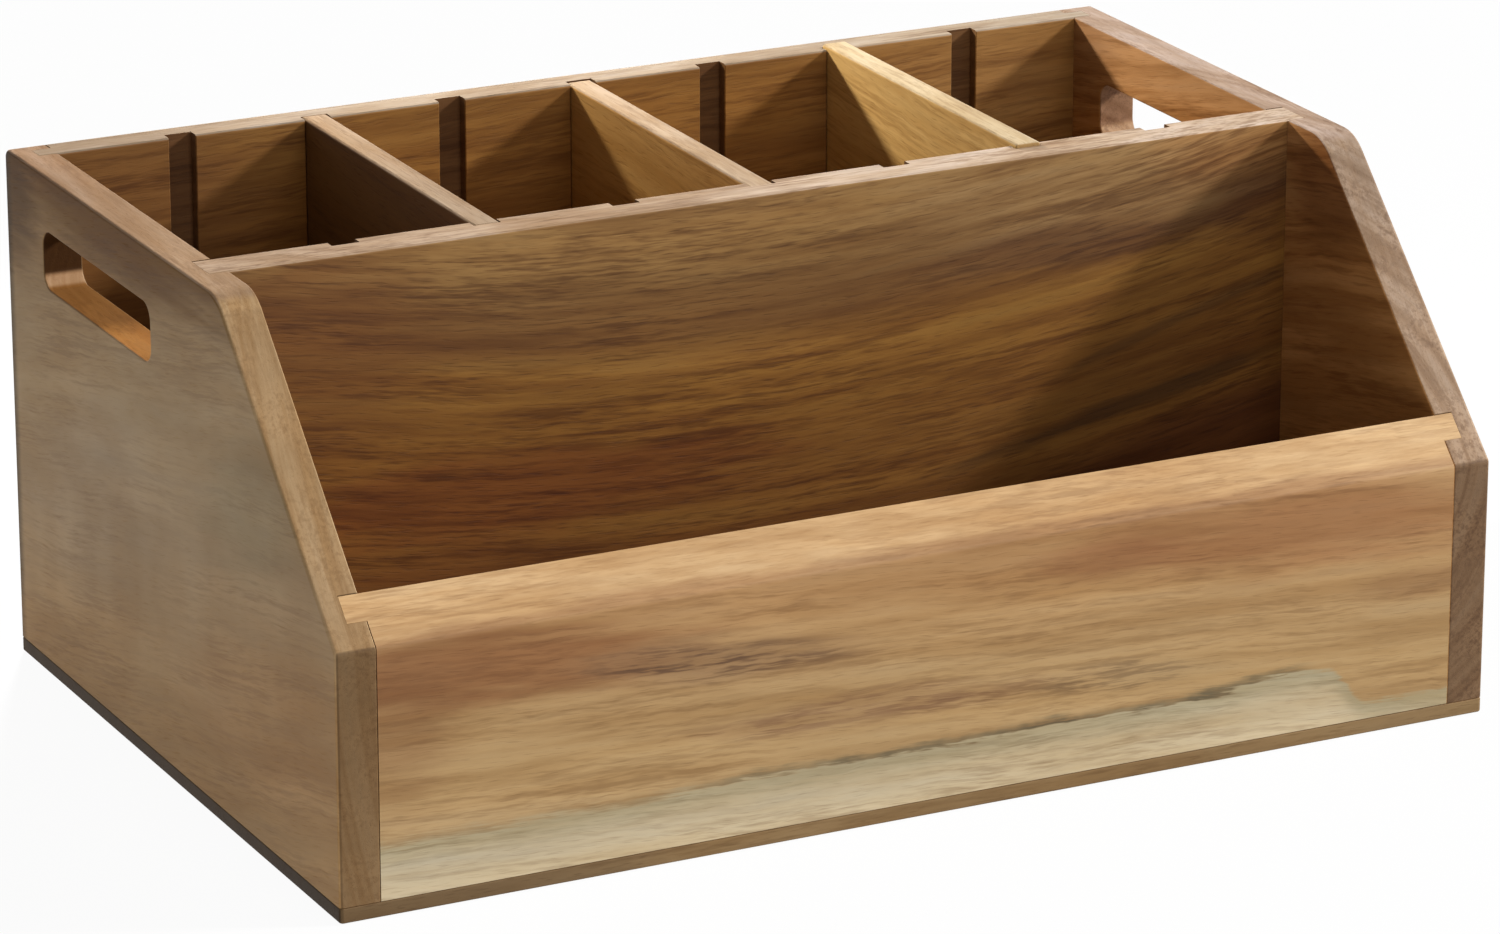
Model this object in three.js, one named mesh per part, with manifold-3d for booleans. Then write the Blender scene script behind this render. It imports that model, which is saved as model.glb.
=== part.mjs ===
// Cutlery caddy in oiled acacia. Two sloping sides, a front, a back and a partition are
// tongued together over a thin base, and three loose dividers stand in a row of slots.
// Millimetres, +Z up, front towards -Y, origin at the middle of the underside.

import * as THREE from 'three';
import { mergeVertices } from 'three/addons/utils/BufferGeometryUtils.js';
import Module from 'manifold-3d';

const wasm = await Module();
wasm.setup();

// Outline of the caddy
const overallWidth = 360;
const overallDepth = 238;
const overallHeight = 155;
const frontHeight = 77; // top of the upright front edge, where the slope begins
const rimLead = 19; // level rim left in front of the partition, before the slope falls away
const slopeCornerRadius = 15; // where the slope runs into the level rim
const noseRadius = 3; // where the slope runs into the front face

// Board thicknesses
const sideThickness = 12;
const frontThickness = 12;
const backThickness = 12;
const partitionThickness = 13;
const dividerThickness = 8;
const baseThickness = 4.5;

// Clear depth of the rear compartments, from the back panel to the partition
const rearDepth = 116;

// Joints: how far the panels enter the sides, and how thick their tongues are
const housingDepth = 6;
const tongueThickness = 6;

// Row of divider slots, filled from the second slot on, every second one
const slotCount = 7;
const slotDepth = 4;
const slotEase = 0.5; // bevel along both edges of a slot
const slotStep = 2;

// Hand holes through the sides
const handleLength = 82;
const handleHeight = 20;
const handleCornerRadius = 6;
const handleDrop = 16; // wood left between the hand hole and the rim
const handleEase = 2; // rounding of the hand hole's edges

// Eased edges
const edgeRound = 1.2; // round the outer face of each side, and the corners of the base
const backRound = 2.5; // top rear edge
const rimEase = 0.8; // top edges inside the caddy

// Countersunk screws that hold the base from below
const screwLength = 16;
const screwDiameter = 3;
const screwHeadDiameter = 6;
const screwHeadHeight = 2;
const screwPointLength = 3;
const screwSetDepth = 0.3; // how far the heads sit above the underside
const driveSpan = 3.2; // cross recess in the head
const driveWidth = 0.8;
const driveDepth = 1.1;

// Clearances
const seatGap = 0.2; // hairline between pieces that are glued or stand on each other
const slidingGap = 0.4; // each side of a loose divider in its slot
const screwGap = 0.3; // round each screw in its hole
const cutMargin = 5; // how far a cut runs past the wood

// Facets
const arcSteps = 3;
const handleArcSteps = 4;
const easeSteps = 3;
const screwSides = 16;

// Places worked out from the sizes above
const outerX = overallWidth / 2;
const innerX = outerX - sideThickness;
const backY = overallDepth / 2;
const frontY = -overallDepth / 2;
const backInnerY = backY - backThickness;
const frontInnerY = frontY + frontThickness;
const partitionRearY = backInnerY - rearDepth;
const partitionFrontY = partitionRearY - partitionThickness;
const slopeTopY = partitionFrontY - rimLead;
const slopeRatio = (overallHeight - frontHeight) / (slopeTopY - frontY);
const panelBottom = baseThickness + seatGap;
const shoulderX = innerX - seatGap; // where a panel meets the face of a side
const tongueX = innerX + housingDepth - seatGap; // where its tongue ends
const rearMiddleY = (backInnerY + partitionRearY) / 2;
const frontMiddleY = (frontInnerY + partitionFrontY) / 2;
const sideMiddleX = outerX - sideThickness / 2;
const aboveTop = overallHeight + cutMargin;
const belowBase = -cutMargin;

// Slots are as wide as a divider and its play, with equal clear spaces between them
const slotWidth = dividerThickness + 2 * slidingGap;
const slotPitch = (2 * innerX + slotWidth) / (slotCount + 1);
const firstSlotX = slotPitch - innerX - slotWidth / 2;
const slotPlaces = Array.from({ length: slotCount }, (_, slot) => firstSlotX + slot * slotPitch);
const dividerPlaces = slotPlaces.filter((_, slot) => slot % slotStep === slotStep - 1);

// Screws stand midway between two slots under the long panels, and mid-compartment under the sides
const panelScrewX = (slotPlaces.at(-1) + slotPlaces.at(-2)) / 2;
const panelScrewY = [
  (frontY + frontInnerY) / 2,
  (partitionFrontY + partitionRearY) / 2,
  (backY + backInnerY) / 2,
];
const screwPlaces = [
  ...panelScrewY.flatMap((y) => [[-panelScrewX, y], [panelScrewX, y]]),
  ...[frontMiddleY, rearMiddleY].flatMap((y) => [[-sideMiddleX, y], [sideMiddleX, y]]),
];

const unitX = new THREE.Vector3(1, 0, 0);
const unitY = new THREE.Vector3(0, 1, 0);
const unitZ = new THREE.Vector3(0, 0, 1);

// A closed mesh as a solid that can be joined and cut
function solid(geometry) {
  const bare = geometry.clone();
  bare.deleteAttribute('normal');
  bare.deleteAttribute('uv');
  const merged = mergeVertices(bare);
  const corners = Array.from(merged.index.array);
  const faces = [];
  for (let i = 0; i < corners.length; i += 3) {
    const [a, b, c] = corners.slice(i, i + 3);
    if (a !== b && b !== c && c !== a) faces.push(a, b, c);
  }
  return new wasm.Manifold(new wasm.Mesh({
    numProp: 3,
    vertProperties: new Float32Array(merged.attributes.position.array),
    triVerts: new Uint32Array(faces),
  }));
}

// A solid back as geometry for a mesh
function geometryOf(body) {
  const { vertProperties, triVerts } = body.getMesh();
  const geometry = new THREE.BufferGeometry();
  geometry.setAttribute('position', new THREE.BufferAttribute(vertProperties, 3));
  geometry.setIndex(new THREE.BufferAttribute(triVerts, 1));
  geometry.computeVertexNormals();
  return geometry;
}

function block([x0, x1], [y0, y1], [z0, z1]) {
  const box = new THREE.BoxGeometry(x1 - x0, y1 - y0, z1 - z0);
  return solid(box.translate((x0 + x1) / 2, (y0 + y1) / 2, (z0 + z1) / 2));
}

// Closed outline through [across, up, radius] corners, each rounded to its own radius.
// A list that starts with a square corner has a square one second as well.
function roundedOutline(corners) {
  const outline = new THREE.Shape();
  corners.forEach(([across, up, radius], index) => {
    const corner = new THREE.Vector2(across, up);
    if (radius === 0) {
      if (index === 0) outline.moveTo(across, up);
      else outline.lineTo(across, up);
      return;
    }
    const back = new THREE.Vector2(...corners.at(index - 1)).sub(corner).normalize();
    const ahead = new THREE.Vector2(...corners[(index + 1) % corners.length]).sub(corner).normalize();
    const halfAngle = Math.acos(back.dot(ahead)) / 2;
    const inward = back.clone().add(ahead).normalize();
    const centre = corner.clone().addScaledVector(inward, radius / Math.sin(halfAngle));
    const reach = radius / Math.tan(halfAngle);
    const start = corner.clone().addScaledVector(back, reach).sub(centre);
    const end = corner.clone().addScaledVector(ahead, reach).sub(centre);
    outline.absarc(centre.x, centre.y, radius, start.angle(), end.angle(), start.cross(end) < 0);
  });
  return outline;
}

// Rectangle about a middle point, with all four corners rounded alike
function roundedRectangle(middleAcross, middleUp, length, height, radius) {
  const left = middleAcross - length / 2;
  const right = middleAcross + length / 2;
  const bottom = middleUp - height / 2;
  const top = middleUp + height / 2;
  return roundedOutline([
    [left, bottom, radius],
    [right, bottom, radius],
    [right, top, radius],
    [left, top, radius],
  ]);
}

// An outline drawn in its own plane, given a length, with both ends eased if asked
function extruded(outline, length, ease = 0, curveSegments = arcSteps) {
  const geometry = new THREE.ExtrudeGeometry(outline, {
    depth: length - 2 * ease,
    curveSegments,
    bevelEnabled: ease > 0,
    bevelThickness: ease,
    bevelSize: ease,
    bevelOffset: -ease,
    bevelSegments: easeSteps,
  });
  return geometry.translate(0, 0, ease);
}

// An outline in the YZ plane, run across the caddy
function acrossWidth(outline, [x0, x1], ease, curveSegments) {
  const geometry = extruded(outline, x1 - x0, ease, curveSegments);
  geometry.applyMatrix4(new THREE.Matrix4().makeBasis(unitY, unitZ, unitX));
  return solid(geometry.translate(x0, 0, 0));
}

// An outline in the XZ plane, run from the back towards the front
function alongDepth(outline, [y0, y1]) {
  const geometry = extruded(outline, y1 - y0);
  geometry.applyMatrix4(new THREE.Matrix4().makeBasis(unitX, unitZ, unitY.clone().negate()));
  return geometry.translate(0, y1, 0);
}

// A profile of [radius, height] points turned about the Z axis
function turned(profile) {
  const points = profile.map(([radius, height]) => new THREE.Vector2(radius, height));
  return new THREE.LatheGeometry(points, screwSides).rotateX(Math.PI / 2);
}

// Screw from the rim of its head up to its point, grown all round by a gap
function screwProfile(gap) {
  const shank = screwDiameter / 2 + gap;
  const head = screwHeadDiameter / 2 + gap;
  return [
    [head, 0],
    [shank, screwHeadHeight],
    [shank, screwLength - screwPointLength + gap],
    [0, screwLength + gap],
  ];
}

function screwHole([x, y]) {
  const [rim, ...rest] = screwProfile(screwGap);
  const hole = turned([[0, belowBase], [rim[0], belowBase], rim, ...rest]);
  return solid(hole.translate(x, y, screwSetDepth));
}

function drillForScrews(board) {
  return screwPlaces.reduce((body, place) => body.subtract(screwHole(place)), board);
}

// Opening for a hand, flared at both faces of a side by its eased edges
function handHole([x0, x1]) {
  const middleZ = overallHeight - handleDrop - handleHeight / 2;
  const cutY = handleLength / 2 + cutMargin;
  const cutZ = handleHeight / 2 + cutMargin;
  const plateLength = 2 * (cutY + cutMargin);
  const plateHeight = 2 * (cutZ + cutMargin);
  const plate = roundedRectangle(rearMiddleY, middleZ, plateLength, plateHeight, 0);
  const hole = roundedRectangle(rearMiddleY, middleZ, handleLength, handleHeight, handleCornerRadius);
  plate.holes.push(hole);
  const room = block(
    [x0 - cutMargin, x1 + cutMargin],
    [rearMiddleY - cutY, rearMiddleY + cutY],
    [middleZ - cutZ, middleZ + cutZ],
  );
  return room.subtract(acrossWidth(plate, [x0, x1], handleEase, handleArcSteps));
}

// Groove across a side for a tongue or a panel end between two depths
function housing(hand, y0, y1) {
  const depths = [hand * (innerX - cutMargin), hand * (innerX + housingDepth)];
  return block(depths.sort((a, b) => a - b), [y0 - seatGap, y1 + seatGap], [belowBase, aboveTop]);
}

// Side board: its sloped outline, rounded on the outer face only, with the joints cut inside
function sideBoard(hand) {
  const outline = roundedOutline([
    [frontY, belowBase, 0],
    [backY, belowBase, 0],
    [backY, overallHeight, backRound],
    [slopeTopY, overallHeight, slopeCornerRadius],
    [frontY, frontHeight, noseRadius],
  ]);
  const faces = [hand * outerX, hand * innerX].sort((a, b) => a - b);
  const blank = [hand * outerX, hand * (innerX - sideThickness)].sort((a, b) => a - b);
  const room = block(faces, [frontY - cutMargin, backY + cutMargin], [panelBottom, aboveTop]);
  const board = acrossWidth(outline, blank, edgeRound)
    .intersect(room)
    .subtract(handHole(faces))
    .subtract(housing(hand, frontInnerY - tongueThickness, frontInnerY))
    .subtract(housing(hand, backInnerY, backInnerY + tongueThickness))
    .subtract(housing(hand, partitionFrontY, partitionRearY));
  return drillForScrews(board);
}

// Panel between the sides, with a tongue at each end that keeps part of its thickness
function tonguedPanel(outline, [tongueY0, tongueY1]) {
  const body = acrossWidth(outline, [-shoulderX, shoulderX]);
  const tongues = acrossWidth(outline, [-tongueX, tongueX]);
  const kept = block([-outerX, outerX], [tongueY0, tongueY1], [belowBase, aboveTop]);
  return body.add(tongues.intersect(kept));
}

// Upright groove for a divider, with bevelled edges, sunk from a panel's face along +Y or -Y
function slotCut(x, faceY, direction) {
  const half = slotWidth / 2;
  const rightWall = [
    [half, faceY + direction * slotDepth],
    [half, faceY + direction * slotEase],
    [half + slotEase, faceY],
    [half + slotEase, faceY - direction * cutMargin],
  ];
  const leftWall = rightWall.map(([across, y]) => [-across, y]).reverse();
  const points = [...rightWall, ...leftWall].map(([across, y]) => new THREE.Vector2(x + across, y));
  const groove = extruded(new THREE.Shape(points), aboveTop - belowBase);
  return solid(groove.translate(0, 0, belowBase));
}

function cutSlots(panel, faceY, direction) {
  return slotPlaces.reduce((body, x) => body.subtract(slotCut(x, faceY, direction)), panel);
}

function frontPanel() {
  const outline = roundedOutline([
    [frontY, panelBottom, 0],
    [frontInnerY, panelBottom, 0],
    [frontInnerY, frontHeight + slopeRatio * frontThickness, rimEase],
    [frontY, frontHeight, noseRadius],
  ]);
  return drillForScrews(tonguedPanel(outline, [frontInnerY - tongueThickness, frontInnerY]));
}

function backPanel() {
  const outline = roundedOutline([
    [backInnerY, panelBottom, 0],
    [backY, panelBottom, 0],
    [backY, overallHeight, backRound],
    [backInnerY, overallHeight, rimEase],
  ]);
  const panel = tonguedPanel(outline, [backInnerY, backInnerY + tongueThickness]);
  return drillForScrews(cutSlots(panel, backInnerY, 1));
}

function partition() {
  const outline = roundedOutline([
    [partitionFrontY, panelBottom, 0],
    [partitionRearY, panelBottom, 0],
    [partitionRearY, overallHeight, rimEase],
    [partitionFrontY, overallHeight, rimEase],
  ]);
  const panel = acrossWidth(outline, [-tongueX, tongueX]);
  return drillForScrews(cutSlots(panel, partitionRearY, -1));
}

function baseBoard() {
  const outline = roundedRectangle(0, 0, overallWidth, overallDepth, edgeRound);
  return drillForScrews(solid(extruded(outline, baseThickness)));
}

// Loose divider, drawn about its own middle, reaching into the slots at both ends
function dividerGeometry() {
  const half = dividerThickness / 2;
  const outline = roundedOutline([
    [-half, panelBottom, 0],
    [half, panelBottom, 0],
    [half, overallHeight, rimEase],
    [-half, overallHeight, rimEase],
  ]);
  const reach = slotDepth - slidingGap;
  return alongDepth(outline, [partitionRearY - reach, backInnerY + reach]);
}

// Screw with a cross recess, drawn with its head at the origin and its point upwards
function screwGeometry() {
  const span = [-driveSpan / 2, driveSpan / 2];
  const width = [-driveWidth / 2, driveWidth / 2];
  const depth = [-cutMargin, driveDepth];
  const screw = solid(turned([[0, 0], ...screwProfile(0)]));
  return geometryOf(screw.subtract(block(span, width, depth)).subtract(block(width, span, depth)));
}

function piece(name, geometry, { color, roughness, metalness }) {
  const mesh = new THREE.Mesh(geometry, new THREE.MeshStandardMaterial({ color, roughness, metalness }));
  mesh.name = name;
  return mesh;
}

const greyBrownWood = { color: 0x8a7355, roughness: 0.6, metalness: 0 };
const goldenWood = { color: 0xb08a58, roughness: 0.55, metalness: 0 };
const redBrownWood = { color: 0x8c6540, roughness: 0.6, metalness: 0 };
const paleWood = { color: 0xb59562, roughness: 0.6, metalness: 0 };
const zincedSteel = { color: 0xb9b6ad, roughness: 0.4, metalness: 1 };

const carcase = new THREE.Group();
carcase.add(piece('left_side', geometryOf(sideBoard(-1)), greyBrownWood));
carcase.add(piece('right_side', geometryOf(sideBoard(1)), greyBrownWood));
carcase.add(piece('front_panel', geometryOf(frontPanel()), goldenWood));
carcase.add(piece('back_panel', geometryOf(backPanel()), redBrownWood));
carcase.add(piece('partition', geometryOf(partition()), redBrownWood));
carcase.add(piece('base_board', geometryOf(baseBoard()), paleWood));

const dividers = new THREE.Group();
dividerPlaces.forEach((x, index) => {
  const divider = piece(`divider_${index + 1}`, dividerGeometry(), paleWood);
  divider.position.x = x;
  dividers.add(divider);
});

const screws = new THREE.Group();
screws.position.z = screwSetDepth;
screwPlaces.forEach(([x, y], index) => {
  const screw = piece(`base_screw_${index + 1}`, screwGeometry(), zincedSteel);
  screw.position.set(x, y, 0);
  screws.add(screw);
});

const caddy = new THREE.Group();
caddy.add(carcase, dividers, screws);

export default caddy;
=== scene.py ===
import math

import bmesh
import bpy
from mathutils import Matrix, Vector


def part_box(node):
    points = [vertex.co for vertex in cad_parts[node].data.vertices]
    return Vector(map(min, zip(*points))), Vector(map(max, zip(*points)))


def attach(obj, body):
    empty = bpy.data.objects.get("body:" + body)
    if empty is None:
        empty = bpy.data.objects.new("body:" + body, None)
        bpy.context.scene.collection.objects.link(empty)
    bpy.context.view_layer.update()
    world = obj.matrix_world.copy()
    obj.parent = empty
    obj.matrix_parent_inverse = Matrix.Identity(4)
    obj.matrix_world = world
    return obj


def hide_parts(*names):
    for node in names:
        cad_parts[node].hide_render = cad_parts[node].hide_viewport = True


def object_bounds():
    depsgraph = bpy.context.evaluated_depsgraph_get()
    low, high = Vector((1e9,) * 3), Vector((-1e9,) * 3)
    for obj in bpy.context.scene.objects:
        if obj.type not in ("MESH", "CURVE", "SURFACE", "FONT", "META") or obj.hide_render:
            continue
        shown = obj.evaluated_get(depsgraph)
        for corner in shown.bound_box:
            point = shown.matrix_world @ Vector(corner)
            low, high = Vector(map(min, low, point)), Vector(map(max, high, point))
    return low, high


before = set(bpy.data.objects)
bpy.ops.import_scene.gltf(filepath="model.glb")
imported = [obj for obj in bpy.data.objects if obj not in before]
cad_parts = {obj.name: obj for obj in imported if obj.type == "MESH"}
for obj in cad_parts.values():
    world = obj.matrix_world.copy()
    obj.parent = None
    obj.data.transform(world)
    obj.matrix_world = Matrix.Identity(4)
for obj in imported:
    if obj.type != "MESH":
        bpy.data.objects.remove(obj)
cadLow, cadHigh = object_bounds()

mm = 0.001
hairline = 0.06 * mm       # glue line left between two boards
overcut = 5 * mm           # how far a cutter stands out of the wood
nearZero = 1e-6            # a shorter length counts as none
white = (1.0, 1.0, 1.0, 1.0)
print("frame loaded:", len(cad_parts), "nodes")


# nodes

def fillSocket(tree, socket, value):
    if isinstance(value, bpy.types.NodeSocket):
        tree.links.new(value, socket)
    else:
        socket.default_value = value


def addNode(tree, kind, inputs=None, **settings):
    node = tree.nodes.new(kind)
    for key, value in settings.items():
        setattr(node, key, value)
    for key, value in (inputs or {}).items():
        fillSocket(tree, node.inputs[key], value)
    return node


def calc(tree, operation, *terms):
    return addNode(tree, "ShaderNodeMath", dict(enumerate(terms)), operation=operation).outputs[0]


def plus(tree, first, second):
    return calc(tree, "ADD", first, second)


def minus(tree, first, second):
    return calc(tree, "SUBTRACT", first, second)


def times(tree, first, *factors):
    for factor in factors:
        first = calc(tree, "MULTIPLY", first, factor)
    return first


def timesPlus(tree, value, factor, extra):
    return calc(tree, "MULTIPLY_ADD", value, factor, extra)


def flip(tree, mask):
    return calc(tree, "SUBTRACT", 1.0, mask)


def swing(tree, value):
    return calc(tree, "SUBTRACT", value, 0.5)      # noise swings about a half


def between(tree, value, low, high):
    return times(tree, calc(tree, "GREATER_THAN", value, low), calc(tree, "LESS_THAN", value, high))


def remap(tree, value, low, high, toLow=0.0, toHigh=1.0, kind="SMOOTHSTEP"):
    terms = dict(enumerate((value, low, high, toLow, toHigh)))
    return addNode(tree, "ShaderNodeMapRange", terms, interpolation_type=kind).outputs[0]


def blend(tree, factor, first, second, kind="MIX"):
    terms = {0: factor, 6: first, 7: second}
    return addNode(tree, "ShaderNodeMix", terms, data_type="RGBA", blend_type=kind).outputs[2]


def combine(tree, x, y, z):
    return addNode(tree, "ShaderNodeCombineXYZ", {0: x, 1: y, 2: z}).outputs[0]


def split(tree, vector):
    return addNode(tree, "ShaderNodeSeparateXYZ", {0: vector}).outputs


def vectorCalc(tree, operation, *terms):
    return addNode(tree, "ShaderNodeVectorMath", dict(enumerate(terms)), operation=operation).outputs


def stretch(tree, vector, scale):
    return vectorCalc(tree, "MULTIPLY", vector, scale)[0]


def noise(tree, vector, scale, detail=2.0, roughness=0.5):
    terms = {"Vector": stretch(tree, vector, scale), "Scale": 1.0, "Detail": detail, "Roughness": roughness}
    return addNode(tree, "ShaderNodeTexNoise", terms).outputs[0]


def newTree(name, kind, inputs, outputs):
    tree = bpy.data.node_groups.new(name, kind)
    for label, socketKind, value in inputs:
        socket = tree.interface.new_socket(label, in_out="INPUT", socket_type="NodeSocket" + socketKind)
        if value is not None:
            socket.default_value = value
    for label, socketKind in outputs:
        tree.interface.new_socket(label, in_out="OUTPUT", socket_type="NodeSocket" + socketKind)
    return tree, tree.nodes.new("NodeGroupInput").outputs, tree.nodes.new("NodeGroupOutput").inputs


def fillOutputs(tree, out, values):
    for label, value in values.items():
        tree.links.new(value, out[label])
    return tree


def placeGroup(tree, group, inputs):
    return addNode(tree, "ShaderNodeGroup", inputs, node_tree=group).outputs


def newMaterial(name):
    material = bpy.data.materials.new(name)
    material.use_nodes = True
    material.node_tree.nodes.clear()
    return material, material.node_tree


def mixShaders(tree, share, first, second):
    return addNode(tree, "ShaderNodeMixShader", {0: share, 1: first, 2: second}).outputs[0]


def linear(part):
    return ((part + 0.055) / 1.055) ** 2.4 if part > 0.04045 else part / 12.92


def srgb(red, green, blue):
    return tuple(linear(part / 255) for part in (red, green, blue)) + (1.0,)


# wood: the vector runs along the grain, across the face and through the board, in metres

waves = dict(       # waves to the metre along, across and through the board
    swell=(7, 16, 16), ripple=(62, 110, 110), longLines=(17, 430, 430), shortLines=(90, 950, 950),
    dashes=(150, 1900, 1900), mottle=(15, 75, 75), patchEdge=(26, 210, 210),
    rimLines=(45, 45, 760), rimMottle=(34, 34, 200), sapEdge=(30, 30, 0), sapLine=(42, 0, 0),
    rings=(1, 9, 0),       # by ring number and along the board
)
figureShare = dict(shortLines=0.4, poreRange=(0.56, 0.76), poreSink=-0.7)


def buildFigure():
    tree, given, out = newTree("acaciaFigure", "ShaderNodeTree", [
        ("Vector", "Vector", None), ("Seed", "Float", 0.0), ("Slope", "Float", 0.0), ("Bow", "Float", 0.0),
        ("Bow Centre", "Float", 0.0), ("Waviness", "Float", 0.004), ("Ripple", "Float", 0.001),
        ("Ring Width", "Float", 0.006), ("Pith Level", "Float", -0.1), ("Pith Depth", "Float", 0.05),
    ], [
        ("Level", "Float"), ("Rings", "Float"), ("Streaks", "Float"),
        ("Pores", "Float"), ("Mottle", "Float"), ("Height", "Float"),
    ])
    part = split(tree, given["Vector"])
    along = plus(tree, part[0], given["Seed"])
    board = combine(tree, along, part[1], part[2])
    swell = swing(tree, noise(tree, board, waves["swell"]))
    ripple = swing(tree, noise(tree, board, waves["ripple"], 3.0))
    wave = times(tree, swell, given["Waviness"], 2.0)
    wave = timesPlus(tree, ripple, times(tree, given["Ripple"], 2.0), wave)
    fromCentre = minus(tree, part[0], given["Bow Centre"])
    bow = times(tree, fromCentre, fromCentre, given["Bow"])
    rise = timesPlus(tree, part[0], given["Slope"], bow)
    level = plus(tree, minus(tree, part[1], rise), wave)
    grain = combine(tree, along, level, part[2])
    up = minus(tree, level, given["Pith Level"])
    deep = minus(tree, part[2], given["Pith Depth"])
    radius = calc(tree, "SQRT", plus(tree, times(tree, up, up), times(tree, deep, deep)))
    ringNumber = calc(tree, "DIVIDE", radius, given["Ring Width"])
    rings = noise(tree, combine(tree, ringNumber, along, 0.0), waves["rings"], 4.0, 0.62)
    longLines = noise(tree, grain, waves["longLines"], 4.0, 0.7)
    shortLines = noise(tree, grain, waves["shortLines"], 2.0, 0.6)
    streaks = timesPlus(tree, minus(tree, shortLines, longLines), figureShare["shortLines"], longLines)
    pores = remap(tree, noise(tree, grain, waves["dashes"], 1.0), *figureShare["poreRange"])
    return fillOutputs(tree, out, {
        "Level": level, "Rings": rings, "Streaks": streaks, "Pores": pores,
        "Mottle": noise(tree, grain, waves["mottle"], 3.0),
        "Height": timesPlus(tree, pores, figureShare["poreSink"], streaks),
    })


toneShade = dict(rings=(0.42, 0.34, 0.26, 1.0), streaks=(0.5, 0.42, 0.34, 1.0), pores=(0.4, 0.32, 0.26, 1.0))
toneRange = dict(rings=(0.4, 0.64), streaks=(0.44, 0.62), gather=(0.38, 0.6, 0.35, 1.25))
toneRough = dict(plain=0.66, pores=0.12, streaks=-0.18)
toneBlue = -2.0            # blue falls twice as fast as red rises where the hue drifts


def buildTone():
    tree, given, out = newTree("acaciaTone", "ShaderNodeTree", [
        ("Color", "Color", (0.4, 0.25, 0.12, 1.0)), ("Rings", "Float", 0.5), ("Streaks", "Float", 0.5),
        ("Pores", "Float", 0.0), ("Mottle", "Float", 0.5), ("End Grain", "Float", 0.0),
        ("Ring Depth", "Float", 0.5), ("Streak Depth", "Float", 0.4), ("Pore Depth", "Float", 0.4),
        ("Mottle Depth", "Float", 0.2), ("Hue Depth", "Float", 0.1), ("End Depth", "Float", 0.5),
        ("End Color", "Color", (0.12, 0.07, 0.04, 1.0)),
    ], [("Color", "Color"), ("Roughness", "Float")])
    ringMask = times(tree, remap(tree, given["Rings"], *toneRange["rings"]), given["Ring Depth"])
    gather = remap(tree, given["Mottle"], *toneRange["gather"])
    streakMask = remap(tree, given["Streaks"], *toneRange["streaks"])
    streakMask = times(tree, streakMask, given["Streak Depth"], gather)
    poreMask = times(tree, given["Pores"], given["Pore Depth"])
    endMask = times(tree, given["End Grain"], given["End Depth"])
    shade = blend(tree, endMask, given["Color"], given["End Color"])
    shade = blend(tree, ringMask, shade, toneShade["rings"], "MULTIPLY")
    shade = blend(tree, streakMask, shade, toneShade["streaks"], "MULTIPLY")
    shade = blend(tree, poreMask, shade, toneShade["pores"], "MULTIPLY")
    bright = timesPlus(tree, swing(tree, given["Mottle"]), given["Mottle Depth"], 1.0)
    drift = times(tree, swing(tree, given["Rings"]), given["Hue Depth"])
    bluer = timesPlus(tree, drift, toneBlue, bright)
    shade = stretch(tree, shade, combine(tree, plus(tree, drift, bright), bright, bluer))
    poreRough = timesPlus(tree, given["Pores"], toneRough["pores"], toneRough["plain"])
    rough = timesPlus(tree, given["Streaks"], toneRough["streaks"], poreRough)
    return fillOutputs(tree, out, {"Color": shade, "Roughness": rough})


patchFade = (1.0, 0.3)             # from the rim of a patch to where it is full
patchLines = (0.45, 0.57)


def buildPatch():
    tree, given, out = newTree("grainPatch", "ShaderNodeTree", [
        ("Vector", "Vector", None), ("Centre", "Vector", None), ("Reach", "Vector", None),
        ("Ragged", "Float", 0.8), ("Streaks", "Float", 0.5), ("Streaky", "Float", 0.0),
    ], [("Mask", "Float")])
    offset = vectorCalc(tree, "SUBTRACT", given["Vector"], given["Centre"])[0]
    far = vectorCalc(tree, "LENGTH", vectorCalc(tree, "DIVIDE", offset, given["Reach"])[0])[1]
    rough = swing(tree, noise(tree, given["Vector"], waves["patchEdge"], 3.0))
    far = timesPlus(tree, rough, given["Ragged"], far)
    lines = remap(tree, given["Streaks"], *patchLines)
    gaps = times(tree, given["Streaky"], flip(tree, lines))
    return fillOutputs(tree, out, {"Mask": times(tree, remap(tree, far, *patchFade), flip(tree, gaps))})


figureGroup = buildFigure()
toneGroup = buildTone()
patchGroup = buildPatch()
print("wood groups ready")

grainAlongX = (math.radians(-90), 0.0, 0.0)
grainAlongY = (math.radians(-90), math.radians(-90), 0.0)
axisX = (1.0, 0.0, 0.0)
axisY = (0.0, 1.0, 0.0)

woodLook = dict(
    slope=0.0, bow=0.0, bowCentre=0.0, waviness=5 * mm, ripple=1.2 * mm, ringWidth=7 * mm, ringDepth=0.3,
    streakDepth=0.4, poreDepth=0.3, mottleDepth=0.25, hueDepth=0.2, endDepth=0.5, endTint=(104, 78, 54),
    rimShare=0.85, sheen=0.22, patches=(), bumpStrength=0.25, bumpDepth=0.2 * mm,
)
facing = dict(      # part of the surface normal at which a face starts and counts in full
    faceLightCopy=(0.3, 0.7), end=(0.6, 0.9), rim=(0.45, 0.68), slope=(-0.3, -0.55), hollow=(0.75, 0.35),
    hollowFloor=(0.15, 0.6), bendStart=(0.15, 0.5), bendEnd=(0.97, 0.8),
)
rimFigure = dict(
    mottle=(0.35, 0.68, 0.0, 0.5), mottleShade=(0.86, 0.78, 0.66, 1.0),
    lines=(0.42, 0.64, 0.0, 0.55), lineShade=(0.74, 0.66, 0.56, 1.0),
)


# sizes of a patch are in millimetres along and across the grain
def patch(at, reach, tint, strength, ragged, lean=0.0, streaky=0.0):
    return dict(at=at, reach=reach, tint=tint, strength=strength, ragged=ragged, lean=lean, streaky=streaky)


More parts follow.
